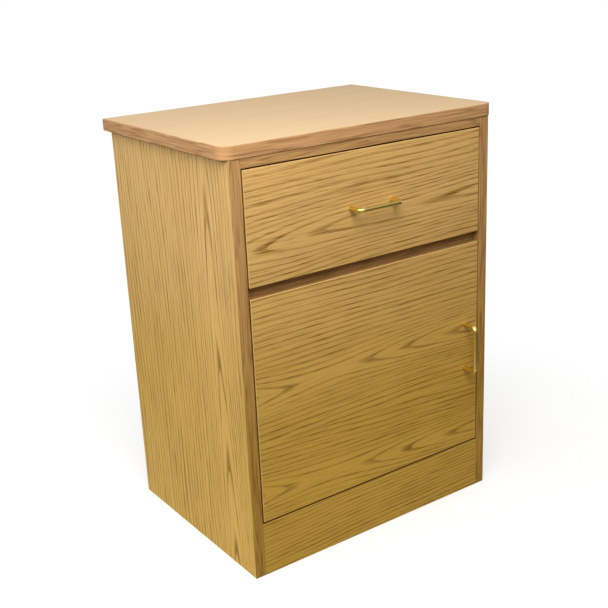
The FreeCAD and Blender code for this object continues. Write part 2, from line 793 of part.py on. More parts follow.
# ---------------------------------------------------------------- runners
runner_start = front + size.runner_front_setback
roller_gap = 0.5 * size.runner_steel
front_axle_z = size.runner_steel + size.fit_gap + 0.5 * size.front_roller
rear_axle_z = size.runner_steel + size.fit_gap + 0.5 * size.rear_roller
track_z = track_low - runner_z
web_x = size.runner_gap - size.runner_steel
rear_axle_y = box_back - size.roller_inset - roller_gap
member_start = fronts_back + size.fit_gap
screw_ys = [size.runner_screw_first, box_length - size.runner_screw_last]


def build_runner():
    """The left runner: a channel on the side panel and an angle under the drawer side."""
    steel = size.runner_steel
    reach = size.runner_reach
    tall = size.runner_height
    channel = new_body("runner_cabinet_left", -inside, runner_start, runner_z)
    profile = new_sketch(channel, "XZ_Plane")
    draw_outline(profile, [(0, 0), (reach, 0), (reach, steel),
                           (steel, steel), (steel, tall - steel), (reach, tall - steel),
                           (reach, tall), (0, tall)])
    pad(channel, profile, box_length, -1)
    axle = new_sketch(channel, "YZ_Plane", steel)
    draw_circle(axle, size.roller_inset, front_axle_z, 0.5 * size.roller_axle)
    pad(channel, axle, roller_gap + size.roller_width)
    pocket(channel, "YZ_Plane", 0, steel, 1, draw_circles,
           [(y, 0.5 * tall) for y in screw_ys], screw_hole)
    keep(channel)
    keep(mirrored("runner_cabinet_right", channel))

    angle = new_body("runner_drawer_left", -inside, member_start, runner_z)
    low = size.runner_steel + size.runner_clearance
    foot = size.runner_gap + size.box_side
    track_x = steel + 2 * roller_gap + size.fit_gap
    profile = new_sketch(angle, "XZ_Plane")
    draw_outline(profile, [(web_x, low), (foot, low), (foot, low + steel),
                           (size.runner_gap, low + steel), (size.runner_gap, track_z + steel),
                           (track_x, track_z + steel), (track_x, track_z), (web_x, track_z)])
    length = box_back - member_start
    pad(angle, profile, length, -1)
    clear = size.rear_roller + 4 * roller_gap
    start = rear_axle_y - 0.5 * clear - member_start
    pocket(angle, "XZ_Plane", start, clear + size.roller_inset, 1, draw_rectangle,
           0, track_z - steel, web_x, 3 * steel)
    axle = new_sketch(angle, "YZ_Plane", web_x)
    draw_circle(axle, rear_axle_y - member_start, rear_axle_z, 0.5 * size.roller_axle)
    pad(angle, axle, roller_gap + size.roller_width, -1)
    pocket(angle, "YZ_Plane", web_x, steel, 1, draw_circles,
           [(y, drawer_screw_z) for y in screw_ys], screw_hole)
    keep(angle)
    keep(mirrored("runner_drawer_right", angle))


drawer_screw_z = box_low - runner_z + 0.5 * (track_low - box_low)


def build_roller(label, x, y, z, diameter):
    """A roller on its axle, turned about the X axis."""
    wheel = new_body(label, x, y, z)
    ring = new_sketch(wheel, "YZ_Plane")
    draw_circle(ring, 0, 0, 0.5 * diameter)
    draw_circle(ring, 0, 0, 0.5 * size.roller_axle + size.axle_play)
    pad(wheel, ring, size.roller_width)
    return keep(wheel)


def build_rollers():
    """Front rollers in the cabinet, rear rollers on the drawer."""
    wheel = build_roller("roller_front_left", -inside + size.runner_steel + roller_gap,
                         runner_start + size.roller_inset, runner_z + front_axle_z,
                         size.front_roller)
    keep(mirrored("roller_front_right", wheel))
    wheel = build_roller("roller_rear_left", -inside + web_x - roller_gap - size.roller_width,
                         rear_axle_y, runner_z + rear_axle_z, size.rear_roller)
    keep(mirrored("roller_rear_right", wheel))


def both_sides(seats):
    """Left-hand seats and the same seats mirrored to the right."""
    return [[(side * x, y, z) for x, y, z in seats] for side in (1, -1)]


def screws_on_both_sides(label, seats, direction, length, head_height):
    """Screws along X on both sides of the cabinet, as one node."""
    group = doc.addObject("Part::Compound", label)
    links = []
    for side, placed in zip(("left", "right"), both_sides(seats)):
        heading = direction if side == "left" else -direction
        for index, seat in enumerate(placed, start=1):
            links.append(headed_pin("%s_%s_%d" % (label, side, index), seat, heading,
                                    0.5 * size.wood_screw, length, size.small_head,
                                    head_height))
    group.Links = links
    return keep(group)


def drill_for_runner(panel):
    """Pilot holes for the cabinet member's screws in the left side panel."""
    centres = [(runner_start + y - front - size.panel_band,
                runner_z + 0.5 * size.runner_height) for y in screw_ys]
    pocket(panel, "YZ_Plane", size.side_panel, size.short_bite + size.fit_gap, -1,
           draw_circles, centres, screw_hole)


def drill_side_for_runner(side):
    """Pilot holes for the drawer member's screws in the left drawer side."""
    centres = [(member_start + y - fronts_back, drawer_screw_z + runner_z - box_low)
               for y in screw_ys]
    pocket(side, "YZ_Plane", 0, size.short_bite + size.fit_gap, 1, draw_circles, centres,
           screw_hole)


def build_runner_screws():
    """Screws through each runner member into its board."""
    steel = size.runner_steel
    seats = [(-inside + steel, runner_start + y, runner_z + 0.5 * size.runner_height)
             for y in screw_ys]
    screws_on_both_sides("runner_cabinet_screws", seats, -X_AXIS,
                         steel + size.short_bite, size.thin_head)
    seats = [(-inside + web_x, member_start + y, runner_z + drawer_screw_z) for y in screw_ys]
    screws_on_both_sides("runner_drawer_screws", seats, X_AXIS,
                         steel + size.short_bite, size.thin_head)


# ---------------------------------------------------------------- build
hinge_bores = build_hinge_bores()
top_core, top_backer = build_top()
build_carcass()
build_carcass_screws()
build_shelf()
build_door()
build_hinges()
build_drawer_box()
build_drawer_front()
build_runner()
build_rollers()
build_runner_screws()

# ---------------------------------------------------------------- check and write
def check_document():
    """Stops with a message if any object failed or any cut removed nothing."""
    for thing in doc.Objects:
        if "Invalid" in thing.State or "Error" in thing.State:
            raise RuntimeError("%s failed: %s" % (thing.Label, thing.State))
        if thing.TypeId == "PartDesign::Pocket":
            before = thing.BaseFeature.Shape.Volume
            if thing.Shape.Volume > before - TINY:
                raise RuntimeError("%s cut nothing" % thing.Label)
    for piece in parts:
        if piece.Shape.isNull() or not piece.Shape.isValid():
            raise RuntimeError("%s has no valid shape" % piece.Label)


doc.recompute()
check_document()
os.makedirs("parts", exist_ok=True)
for piece in parts:
    piece.Shape.exportStep("parts/%s.step" % piece.Label)
    print("%-24s %10.0f mm3, %d solids" % (piece.Label, piece.Shape.Volume,
                                           len(piece.Shape.Solids)))
print(len(parts), "sub-parts written")
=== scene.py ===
# %% [markdown]
# A bedside cabinet in oak veneer: a drawer over a hinged door, two brass wire pulls, a flush
# kick panel and a pale top with a brown wood-grain edge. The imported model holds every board,
# runner, hinge and screw at its true place. This script gives each of them its surface, and
# makes finer versions of what a machinist's model leaves plain: softened board edges, bent
# wire pulls, screw heads, rollers and pins.

# %% Load the frame
import json
import math
import bmesh
import bpy
from mathutils import Matrix, Vector


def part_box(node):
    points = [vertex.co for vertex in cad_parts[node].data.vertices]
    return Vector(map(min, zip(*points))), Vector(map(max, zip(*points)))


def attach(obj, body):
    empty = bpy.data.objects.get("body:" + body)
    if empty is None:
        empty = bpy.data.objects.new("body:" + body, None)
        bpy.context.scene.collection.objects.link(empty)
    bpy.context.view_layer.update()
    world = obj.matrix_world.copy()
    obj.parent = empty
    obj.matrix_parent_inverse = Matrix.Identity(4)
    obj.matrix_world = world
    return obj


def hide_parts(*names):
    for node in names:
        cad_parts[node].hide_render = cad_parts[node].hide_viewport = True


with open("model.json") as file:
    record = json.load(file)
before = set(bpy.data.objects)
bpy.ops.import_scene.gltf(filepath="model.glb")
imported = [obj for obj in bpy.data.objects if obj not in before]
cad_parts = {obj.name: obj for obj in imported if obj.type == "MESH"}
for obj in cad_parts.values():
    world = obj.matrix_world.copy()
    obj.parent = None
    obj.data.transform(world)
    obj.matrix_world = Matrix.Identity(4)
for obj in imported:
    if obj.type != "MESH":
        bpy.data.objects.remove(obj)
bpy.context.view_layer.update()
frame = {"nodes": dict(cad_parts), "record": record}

MM = 0.001
X, Y, Z = range(3)
nodes = frame["nodes"]
body_of_node = {node: body for body, members in frame["record"]["behaviour"]["bodies"].items()
                for node in members}

# %% [markdown]
# The camera stands to the left of the cabinet and a little above it. A longish lens keeps
# the uprights nearly parallel. Its turn is built from three plain angles: where it heads, how
# far it looks down, and a small roll about its own line of sight.

# %% Camera
EYE = Vector((-1.0640, -1.5219, 1.0429))
HEADING, PITCH, ROLL = math.radians(34.57), math.radians(-19.196), math.radians(-2.6)
LENS, SENSOR = 60.91, 36.0
camera_data = bpy.data.cameras.new("camera")
camera_data.lens, camera_data.sensor_width = LENS, SENSOR
camera = bpy.data.objects.new("camera", camera_data)
bpy.context.scene.collection.objects.link(camera)
camera.matrix_world = (Matrix.Translation(EYE) @ Matrix.Rotation(-HEADING, 4, "Z")
                       @ Matrix.Rotation(math.pi / 2 + PITCH, 4, "X")
                       @ Matrix.Rotation(ROLL, 4, "Z"))
bpy.context.scene.camera = camera
print("camera at", tuple(round(v, 3) for v in EYE))

# %% [markdown]
# Shader maths reads best as plain arithmetic. A Term wraps one socket of a shader's tree, and
# Python's own operators on it add Math nodes, so "1 - line * 0.5" builds two of them. Each
# operator that matters the other way round has its reflected form as well.

# %% Shader arithmetic
class Term:
    """One value in a material; operators on it add Math nodes."""

    def __init__(self, wiring, socket):
        self.wiring = wiring
        self.socket = socket

    def math(self, operation, *values):
        inputs = dict(enumerate(values))
        return self.wiring.node("ShaderNodeMath", {"operation": operation}, inputs)

    def __add__(self, other):
        return self.math("ADD", self, other)

    def __sub__(self, other):
        return self.math("SUBTRACT", self, other)

    def __rsub__(self, other):
        return self.math("SUBTRACT", other, self)

    def __mul__(self, other):
        return self.math("MULTIPLY", self, other)

    def __truediv__(self, other):
        return self.math("DIVIDE", self, other)

    def __rtruediv__(self, other):
        return self.math("DIVIDE", other, self)

    def __neg__(self):
        return self.math("MULTIPLY", self, -1)

    __radd__ = __add__
    __rmul__ = __mul__

    def root(self):
        return self.math("SQRT", self)

    def fraction(self):
        return self.math("FRACT", self)

    def size(self):
        return self.math("ABSOLUTE", self)

    def least(self, other):
        return self.math("MINIMUM", self, other)

    def most(self, other):
        return self.math("MAXIMUM", self, other)

    def rise(self, low, high, start=0.0, end=1.0):
        """Goes smoothly from start to end as the value passes from low to high."""
        return self.wiring.node("ShaderNodeMapRange", {"interpolation_type": "SMOOTHSTEP"},
                                {"Value": self, 1: low, 2: high, 3: start, 4: end})


print("a Term turns + - * / into Math nodes")

# %% [markdown]
# A Wiring owns one shader tree. It starts with the tree's own coordinate, split into x, y and
# z, and its node method adds any other kind of node. The small methods after it cover the few
# kinds that come up in every finish of this cabinet.

# %% Nodes other than arithmetic
class Wiring:
    """Adds nodes to one shader tree; place names the kind of coordinate it works in."""

    def __init__(self, tree, place):
        self.tree = tree
        self.place = self.node("ShaderNodeTexCoord", output=place)
        parts = [self.node("ShaderNodeSeparateXYZ", {}, {0: self.place}, output=n)
                 for n in range(3)]
        self.x, self.y, self.z = parts

    def node(self, kind, settings=None, inputs=None, output=0):
        """Adds a node: its settings first, then the values or links of its sockets."""
        made = self.tree.nodes.new(kind)
        for word, value in (settings or {}).items():
            setattr(made, word, value)
        for key, value in (inputs or {}).items():
            self.feed(made.inputs[key], value)
        return Term(self, made.outputs[output])

    def feed(self, socket, value):
        """Links a Term, or sets a plain value or colour."""
        if isinstance(value, Term):
            self.tree.links.new(value.socket, socket)
        elif isinstance(value, tuple) and len(value) == 3 and socket.type == "RGBA":
            socket.default_value = (*value, 1.0)
        else:
            socket.default_value = value

    def vector(self, x, y, z):
        return self.node("ShaderNodeCombineXYZ", {}, {0: x, 1: y, 2: z})

    def noise(self, vector, detail, roughness=0.5):
        return self.node("ShaderNodeTexNoise", {"noise_dimensions": "3D"},
                         {"Vector": vector, "Scale": 1.0, "Detail": detail,
                          "Roughness": roughness})

    def mixed(self, first, second, share, blend="MIX"):
        """A colour between two others, or the first multiplied by the second."""
        return self.node("ShaderNodeMix", {"data_type": "RGBA", "blend_type": blend},
                         {0: share, 6: first, 7: second}, output=2)

    def bump(self, height, distance, strength):
        return self.node("ShaderNodeBump", {}, {"Height": height, "Distance": distance,
                                                "Strength": strength})

    def curve(self, value, points, top):
        """A smooth curve through points (0 to 1, 0 to top)."""
        line = self.node("ShaderNodeFloatCurve", {}, {"Factor": 1.0, "Value": value})
        mapping = line.socket.node.mapping
        for _ in points[2:]:
            mapping.curves[0].points.new(0.5, 0.5)
        for point, (at, height) in zip(mapping.curves[0].points, points):
            point.location = (at, height / top)
        mapping.update()
        return line * top


print("a Wiring adds noise, mixes, bumps and curves")

# %% [markdown]
# Every finish is one Principled shader in object coordinates, so a pattern stays where it is
# on its board. Colours are given as they look on a screen and turned into linear light. Towards
# the floor the fronts are painted darker and yellower: painted shade for the light that falls
# off downwards.

# %% One finish
# Heights between which the painted shade of the lower fronts fades out.
SHADED_BELOW, UNSHADED_ABOVE = 0.16, 0.66


class Paint(Wiring):
    """One material: its Principled shader, wired in object coordinates."""

    def __init__(self, name, **fixed):
        self.material = bpy.data.materials.new(name)
        self.material.use_nodes = True
        super().__init__(self.material.node_tree, "Object")
        self.shader = self.tree.nodes["Principled BSDF"]
        for words, value in fixed.items():
            self.shader.inputs[words.replace("_", " ")].default_value = value

    def painted_low_shade(self, colour, tint):
        """Painted shade: the colour multiplied by the tint, fully at the lower height, not at
        all at the upper.
        """
        share = self.z.rise(SHADED_BELOW, UNSHADED_ABOVE, 1.0, 0.0)
        return self.mixed(colour, tint, share, "MULTIPLY")

    def finish(self, **links):
        for words, term in links.items():
            self.feed(self.shader.inputs[words.replace("_", " ")], term)
        return self.material


def screen(red, green, blue):
    """A colour as it looks on a screen, 0 to 255, turned into the linear values shaders use."""
    def linear(level):
        level /= 255
        return level / 12.92 if level <= 0.04045 else ((level + 0.055) / 1.055) ** 2.4
    return (linear(red), linear(green), linear(blue))


print("half-way grey, 128, is", round(screen(128, 128, 128)[0], 3), "in linear light")

# %% [markdown]
# Oak veneer cut flat across a log shows two things at once: long, nearly straight lines away
# from the middle of the leaf, and nested arches along the middle, where the knife ran nearly
# level with the growth rings. Both come from one rule. The number of a ring is the distance
# across from a heart line, rounded at the middle, less a curve along the grain. An arch has its
# tip wherever that curve passes a whole number, so the curve's points place the tips. Each
# whole number is a band of dark, porous early wood. Far from the heart the curve fades out,
# so the lines there run straight. Stretched noise bends the rings a little, and a much finer
# one breaks them into the short dashes of open pores.

# %% Oak veneer
# INNER_SHADE is painted shade: the darker brown of the side boards' inner faces, inside the
# cabinet.
# KICK_GAP_SHADE is painted shade: a thin dark line along the kick's top, in the gap under the
# door.
INNER_SHADE, KICK_GAP_SHADE = screen(150, 112, 60), screen(112, 74, 30)
CURVE_TOP = 5.0


def oak(name, light, dark, floor_shade_tint, along, across, span, hearts, tips, ring, seed,
        faces=None, rim=None):
    """Flat-cut oak. span is the leaf's start and end along the grain, in metres; hearts are
    (place across, slope); tips are points (share of the span, ring number) of the curve.
    floor_shade_tint is painted shade: near the floor the colour is multiplied by it, so it
    turns darker and yellower. faces are a side board's inner and outer distance from the
    middle; its inner face is painted a darker brown, painted shade of the cabinet's inside. rim
    is the height of the kick's top edge, under which a thin dark line of painted shade stands
    for the gap under the door."""
    paint = Paint(name, Specular_IOR_Level=0.14)
    axes = {"x": paint.x, "y": paint.y, "z": paint.z}
    run = axes[along] - span[0]
    side = axes[across]
    if faces is not None:
        side = side + (paint.x.size() - faces[1]) * 0.9

    # How far the nearest heart line is, and so the number of the ring at each place.
    drift = paint.noise(paint.vector(run * 2.6, side * 4.0, seed), 1.0) - 0.5
    reach = None
    for middle, slope in hearts:
        off = side - middle - run * slope - drift * 0.02
        far = (off * off + ring ** 2).root()
        reach = far if reach is None else reach.least(far)
    share = run / (span[1] - span[0])
    wide = paint.noise(paint.vector(run * 1.5, side * 24.0, seed + 3.1), 2.0) - 0.5
    small = paint.noise(paint.vector(run * 9.0, side * 95.0, seed + 7.7), 2.0) - 0.5
    near = (reach / ring).rise(1.2, 5.5, 1.0, 0.0)
    calm = (reach / ring).rise(1.6, 3.6)
    number = (reach / ring - paint.curve(share, tips, CURVE_TOP) * near
              + wide * (calm * 1.5 + 0.4) + small * 0.16)

    # A dark line at each whole number, and fainter ones between them.
    phase = number.fraction()
    line = phase.rise(0.02, 0.30, 1.0, 0.0).most(phase.rise(0.90, 0.98))
    strength = paint.noise(paint.vector(run * 4.0, side * 40.0, seed + 11.0), 1.0)
    between = (number * 3.0 + 0.45).fraction()
    faint = between.rise(0.0, 0.45, 1.0, 0.0).most(between.rise(0.85, 1.0))
    rings = (line * strength.rise(0.32, 0.55, 0.6, 1.0).most(1.0 - calm)
             + faint * (calm * 0.40 + 0.14))

    # Pores, fibre and slow changes of tone, then the colour.
    dash = paint.noise(paint.vector(run * 17.0, side * 620.0, seed + 5.0), 2.0, 0.6)
    pores = dash.rise(0.50, 0.66)
    fibre = paint.noise(paint.vector(run * 9.0, side * 380.0, seed + 9.0), 3.0, 0.65)
    cloud = paint.noise(paint.vector(run * 3.0, side * 9.0, seed + 2.0), 2.0)
    smudge = paint.noise(paint.vector(run * 12.0, side * 60.0, seed + 15.0), 1.0)
    tip = (reach / ring).rise(1.0, 1.5, 1.0, 0.0) * smudge.rise(0.45, 0.7) * line
    shade = (rings * (pores * 0.45 + 0.55) * 0.84 + pores * 0.18 + (fibre - 0.5) * 0.8
             + (cloud - 0.5) * 0.40 + tip * 0.3)
    # Painted shade: the colour turns darker and yellower towards the floor.
    colour = paint.painted_low_shade(paint.mixed(light, dark, shade), floor_shade_tint)
    # Painted shade: the side boards' inner faces are darkened brown, as the inside of the
    # cabinet is shaded.
    if faces is not None:
        inner_shade = paint.x.size().rise(faces[0] + 0.1 * MM, faces[0] + 0.3 * MM, 1.0, 0.0)
        colour = paint.mixed(colour, INNER_SHADE, inner_shade * (fibre * 0.4 + 0.6))
    # Painted shade: a thin dark line along the kick's top, where the gap under the door is
    # shaded.
    if rim is not None:
        colour = paint.mixed(colour, KICK_GAP_SHADE, paint.z.rise(rim - 0.4 * MM, rim))
    return paint.finish(Base_Color=colour, Roughness=rings * 0.08 + pores * 0.1 + 0.44,
                        Normal=paint.bump(-(rings * 0.5 + pores), 0.00012, 0.6))


print("a curve of tips can count up to ring", CURVE_TOP)

# %% [markdown]
# Four leaves of that oak were laid on this cabinet. The door's and the drawer's run level, and
# each shows the arches of its own heart: two of them on the tall door, one low on the drawer.
# The kick panel was cut well away from the heart and shows nearly straight lines. The sides'
# grain is upright. They are a little lighter, and their inner faces are painted a darker brown:
# painted shade of the cabinet's inside.

# %% The four oak leaves
door_low, door_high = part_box("door_edge_band")
drawer_low, drawer_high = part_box("drawer_front_band")
side_low, side_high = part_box("side_panel_left")
kick_low, kick_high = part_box("kick_panel")
door_tall = door_high.z - door_low.z
FRONT_LIGHT, FRONT_DARK = screen(206, 166, 103), screen(122, 84, 30)
# FRONT_LOW_SHADE is painted shade: what the fronts' colour is multiplied by near the floor.
FRONT_LOW_SHADE = (0.84, 0.81, 0.36)
oak_door = oak("oak_door", FRONT_LIGHT, FRONT_DARK, FRONT_LOW_SHADE, along="x", across="z",
               span=(door_low.x, door_high.x), ring=0.0105, seed=4.2,
               hearts=((door_low.z + 0.58 * door_tall, 0.01),
                       (door_low.z + 0.13 * door_tall, -0.05)),
               tips=((0.0, 1.9), (0.12, 1.0), (0.30, 0.55), (0.47, 1.0), (0.65, 2.0),
                     (0.88, 3.0), (1.0, 3.4)))
oak_drawer = oak("oak_drawer", FRONT_LIGHT, FRONT_DARK, FRONT_LOW_SHADE, along="x", across="z",
                 span=(drawer_low.x, drawer_high.x), ring=0.012, seed=21.7,
                 hearts=((drawer_low.z + 0.058, 0.05),),
                 tips=((0.0, 0.7), (0.06, 1.0), (0.30, 2.0), (0.87, 3.0), (1.0, 3.2)))
oak_kick = oak("oak_kick", FRONT_LIGHT, FRONT_DARK, FRONT_LOW_SHADE, along="x", across="z",
               span=(kick_low.x, kick_high.x), ring=0.0075, seed=33.3,
               hearts=((kick_low.z - 0.05, 0.02),), tips=((0.0, 0.0), (1.0, 0.6)),
               rim=kick_high.z)
# The sides' low tint, (0.92, 0.90, 0.54), is painted shade near the floor as well.
oak_side = oak("oak_side", screen(214, 176, 114), screen(126, 88, 30), (0.92, 0.90, 0.54),
               along="z", across="y", span=(side_high.z, side_low.z), ring=0.0115, seed=8.4,
               hearts=((side_low.y + 0.085, 0.03),),
               tips=((0.0, 0.5), (0.13, 1.0), (0.47, 2.0), (0.72, 3.0), (1.0, 4.2)),
               faces=(-side_high.x, -side_low.x))
print("oak faces: door, drawer, kick and sides")

# %% [markdown]
# The edges are a printed band, browner and pinker than the veneer. Its grain runs along each
# edge, so the pattern is drawn out along one axis for the uprights and the rails, and along
# two for a band that turns a corner: the top's rim, and the bands round door and drawer. Along
# the front arris of the door's and the drawer's bands a pale strip is painted: a painted
# highlight.

# %% Edge bands
# ARRIS_HIGHLIGHT is a painted highlight: the pale strip along the fronts' arrises.
# BAND_LOW_SHADE is painted shade: what the bands' colour is multiplied by near the floor.
BAND_LOW_SHADE, ARRIS_HIGHLIGHT = (0.82, 0.80, 0.32), screen(206, 166, 102)


def band(name, light, dark, stretch, seed, lip=None):
    """Printed wood-grain edging. stretch scales the pattern along x, y and z. Ahead of lip,
    a place on the y axis, a pale colour is painted instead: a painted highlight on the front
    arris."""
    paint = Paint(name, Specular_IOR_Level=0.16)
    across = 420.0
    turns = [across * factor for factor in stretch]
    places = paint.vector(paint.x * turns[0], paint.y * turns[1], paint.z * turns[2] + seed)
    fibre = paint.noise(places, 4.0, 0.65)
    wide = [turn * 0.22 for turn in turns]
    figure = paint.noise(paint.vector(paint.x * wide[0] + seed, paint.y * wide[1],
                                      paint.z * wide[2]), 2.0)
    vein = ((figure * 7.0).fraction() - 0.5).size().rise(0.0, 0.32, 1.0, 0.0)
    shade = vein * 0.34 + (fibre - 0.5) * 1.1 + 0.34
    # Painted shade: the band's colour turns darker and yellower towards the floor.
    colour = paint.painted_low_shade(paint.mixed(light, dark, shade), BAND_LOW_SHADE)
    # Painted highlight: a pale strip along the front arris.
    if lip is not None:
        front = paint.y.rise(lip, lip + 0.5 * MM, 1.0, 0.0)
        colour = paint.mixed(colour, ARRIS_HIGHLIGHT, front)
    return paint.finish(Base_Color=colour, Roughness=fibre * 0.16 + 0.38,
                        Normal=paint.bump(fibre, 0.00008, 0.5))


BAND_LIGHT, BAND_DARK = screen(200, 156, 102), screen(112, 76, 42)
LONG = 0.035
band_rim = band("band_rim", screen(208, 162, 114), screen(122, 82, 48), (LONG, LONG, 1.0), 2.0)
band_upright = band("band_upright", BAND_LIGHT, BAND_DARK, (1.0, 1.0, LONG), 5.0)
band_level = band("band_level", BAND_LIGHT, BAND_DARK, (LONG, 1.0, 1.0), 9.0)
# The door's and the drawer's bands carry a painted highlight along their front arris.
band_thin = band("band_thin", screen(172, 130, 80), screen(104, 70, 36), (LONG, 1.0, LONG),
                 14.0, lip=door_low.y + 1.0 * MM)
print("edge bands: rim, upright, level and thin")

# %% [markdown]
# The top is a pale laminate with a faint printed grain across its width. The inner boards are
# plainer cuts of the same oak, and the drawer box is pale birch. Bare edges and hidden rails
# are particle board, whose chips come from a cell pattern.

# %% Laminate, inner boards and core board
def laminate(name, light, dark):
    """A printed sheet, its grain along x, with a fine crepe surface."""
    paint = Paint(name, Specular_IOR_Level=0.45)
    fine = paint.noise(paint.vector(paint.x * 26.0, paint.y * 520.0, paint.z), 3.0, 0.6)
    broad = paint.noise(paint.vector(paint.x * 3.0, paint.y * 42.0, paint.z), 3.0, 0.55)
    shade = (fine - 0.5) * 0.5 + (broad - 0.5) * 0.4 + 0.4
    crepe = paint.noise(paint.vector(paint.x * 1500, paint.y * 1500, paint.z * 1500), 1.0)
    return paint.finish(Base_Color=paint.mixed(light, dark, shade),
                        Roughness=fine * 0.1 + 0.36,
                        Normal=paint.bump(crepe + fine, 0.00004, 0.5))


def plain_board(name, light, dark, along, across):
    """A plain, straight-grained board."""
    paint = Paint(name, Specular_IOR_Level=0.3)
    axes = {"x": paint.x, "y": paint.y, "z": paint.z}
    third = (set("xyz") - {along, across}).pop()
    places = paint.vector(axes[along] * 7.0, axes[across] * 260.0, axes[third] * 260.0)
    fibre = paint.noise(places, 4.0, 0.6)
    wave = paint.noise(paint.vector(axes[along] * 2.0, axes[across] * 30.0,
                                    axes[third] * 30.0), 2.0)
    lines = (wave * 9.0).fraction().rise(0.0, 0.6, 1.0, 0.0)
    shade = lines * 0.3 + (fibre - 0.5) * 0.9 + 0.3
    return paint.finish(Base_Color=paint.mixed(light, dark, shade),
                        Roughness=fibre * 0.12 + 0.42, Normal=paint.bump(fibre, 0.00006, 0.4))


def chipboard(name, light, dark):
    """Pressed chips of many tones, with no direction."""
    paint = Paint(name, Specular_IOR_Level=0.2)
    chips = paint.node("ShaderNodeTexVoronoi", {"feature": "F1"},
                       {"Vector": paint.place, "Scale": 420.0, "Randomness": 1.0},
                       output="Color")
    tone = paint.node("ShaderNodeSeparateColor", {}, {0: chips})
    dust = paint.noise(paint.vector(paint.x * 900, paint.y * 900, paint.z * 900), 3.0)
    return paint.finish(Base_Color=paint.mixed(light, dark, tone * 0.6 + dust * 0.5),
                        Roughness=dust * 0.1 + 0.75, Normal=paint.bump(tone, 0.0001, 0.5))


top_face = laminate("top_face", screen(216, 188, 150), screen(192, 160, 119))
under_face = laminate("under_face", screen(150, 118, 82), screen(110, 82, 52))
inner_deep = plain_board("inner_deep", screen(205, 165, 104), screen(150, 112, 60), "x", "y")
BIRCH = screen(224, 194, 146), screen(184, 148, 98)
birch_deep = plain_board("birch_deep", *BIRCH, "y", "z")
birch_wide = plain_board("birch_wide", *BIRCH, "x", "z")
bare_core = chipboard("bare_core", screen(190, 156, 112), screen(120, 90, 58))
hardboard = chipboard("hardboard", screen(176, 140, 96), screen(136, 102, 64))
print("boards: laminate, inner oak, birch, core and hardboard")

# %% [markdown]
# Metals: the pulls are polished brass, the screws are zinc plated, the hinges are satin
# nickel and the runners have a cream baked coat. Each gets its own fine unevenness, because
# a metal of one single roughness looks like plastic.

# %% Metal, plastic and rubber
def metal(name, colour, rough, spread, scale):
    """A metal whose roughness wavers by spread, with the haze of handling."""
    paint = Paint(name, Metallic=1.0)
    haze = paint.noise(paint.vector(paint.x * scale, paint.y * scale, paint.z * scale), 3.0)
    dull = tuple(level * 0.82 for level in colour)
    return paint.finish(Base_Color=paint.mixed(colour, dull, haze.rise(0.4, 0.75)),
                        Roughness=(haze - 0.5) * spread + rough,
                        Normal=paint.bump(haze, 0.00002, 0.3))


def coat(name, colour, worn, rough, grain):
    """A baked or moulded surface with a fine grain."""
    paint = Paint(name, Specular_IOR_Level=0.4)
    orange = paint.noise(paint.vector(paint.x * grain, paint.y * grain, paint.z * grain), 2.0)
    cloud = paint.noise(paint.vector(paint.x * 30, paint.y * 30, paint.z * 30), 3.0)
    return paint.finish(Base_Color=paint.mixed(colour, worn, cloud.rise(0.35, 0.8)),
                        Roughness=orange * 0.12 + rough,
                        Normal=paint.bump(orange, 0.00005, 0.4))


brass = metal("brass", (0.90, 0.70, 0.20), rough=0.26, spread=0.10, scale=260.0)
zinc = metal("zinc", (0.62, 0.62, 0.60), rough=0.34, spread=0.2, scale=900.0)
nickel = metal("nickel", (0.68, 0.66, 0.62), rough=0.30, spread=0.16, scale=500.0)
cream_coat = coat("cream_coat", screen(226, 222, 206), screen(206, 200, 180), 0.34, 1100.0)
nylon = coat("nylon", screen(236, 234, 224), screen(216, 212, 198), 0.42, 700.0)
soft_clear = coat("soft_clear", screen(214, 210, 198), screen(196, 190, 176), 0.5, 700.0)
print("brass, zinc, nickel, cream coat, nylon and soft rubber")

# %% [markdown]
# Finer pieces stand in for the imported nodes. Each rides on its node's body and takes its
# material. A imported mesh is loose triangles, so a copy of it is first joined into flat faces.
# A rounding is shaded well only if the large flat faces beside it keep their own normals, which
# is what the weighting is for.

# %% Standing in for a node
SAME_POINT, TOUCHING, FLAT = 0.001 * MM, 0.01 * MM, math.radians(0.5)
made_triangles = {}


def stand_in(obj, node, material):
    """Puts a finished mesh in place of one node, on its body and with its material."""
    obj.data.materials.clear()
    obj.data.materials.append(material)
    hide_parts(node)
    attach(obj, body_of_node[node])
    made_triangles[obj.name] = sum(len(face.vertices) - 2 for face in obj.data.polygons)
    return obj


def clean_copy(node):
    """A bmesh of a node with its loose triangles joined into flat faces."""
    shape = bmesh.new()
    shape.from_mesh(nodes[node].data)
    bmesh.ops.remove_doubles(shape, verts=shape.verts, dist=SAME_POINT)
    bmesh.ops.dissolve_limit(shape, angle_limit=FLAT, verts=shape.verts,
                             edges=shape.edges, delimit={"NORMAL"})
    return shape


def new_object(name, shape_mesh):
    obj = bpy.data.objects.new(name, shape_mesh)
    bpy.context.scene.collection.objects.link(obj)
    return obj


def smooth_object(name, shape, angle):
    """Ends a bmesh as an object, smooth but for the edges sharper than an angle."""
    for face in shape.faces:
        face.smooth = True
    mesh = bpy.data.meshes.new(name)
    shape.to_mesh(mesh)
    shape.free()
    mesh.set_sharp_from_angle(angle=math.radians(angle))
    return new_object(name, mesh)


def settled(obj):
    """Keeps what the object's modifiers make as its plain mesh, and removes them."""
    bpy.context.view_layer.update()
    held = obj.evaluated_get(bpy.context.evaluated_depsgraph_get())
    mesh = bpy.data.meshes.new_from_object(held)
    obj.modifiers.clear()
    obj.data = mesh
    return obj


def weighted(obj):
    """Bakes normals that favour large faces, so flats stay flat beside small roundings."""
    obj.modifiers.new("weighted", "WEIGHTED_NORMAL").keep_sharp = True
    return settled(obj)


print(len(body_of_node), "nodes can be stood in for")

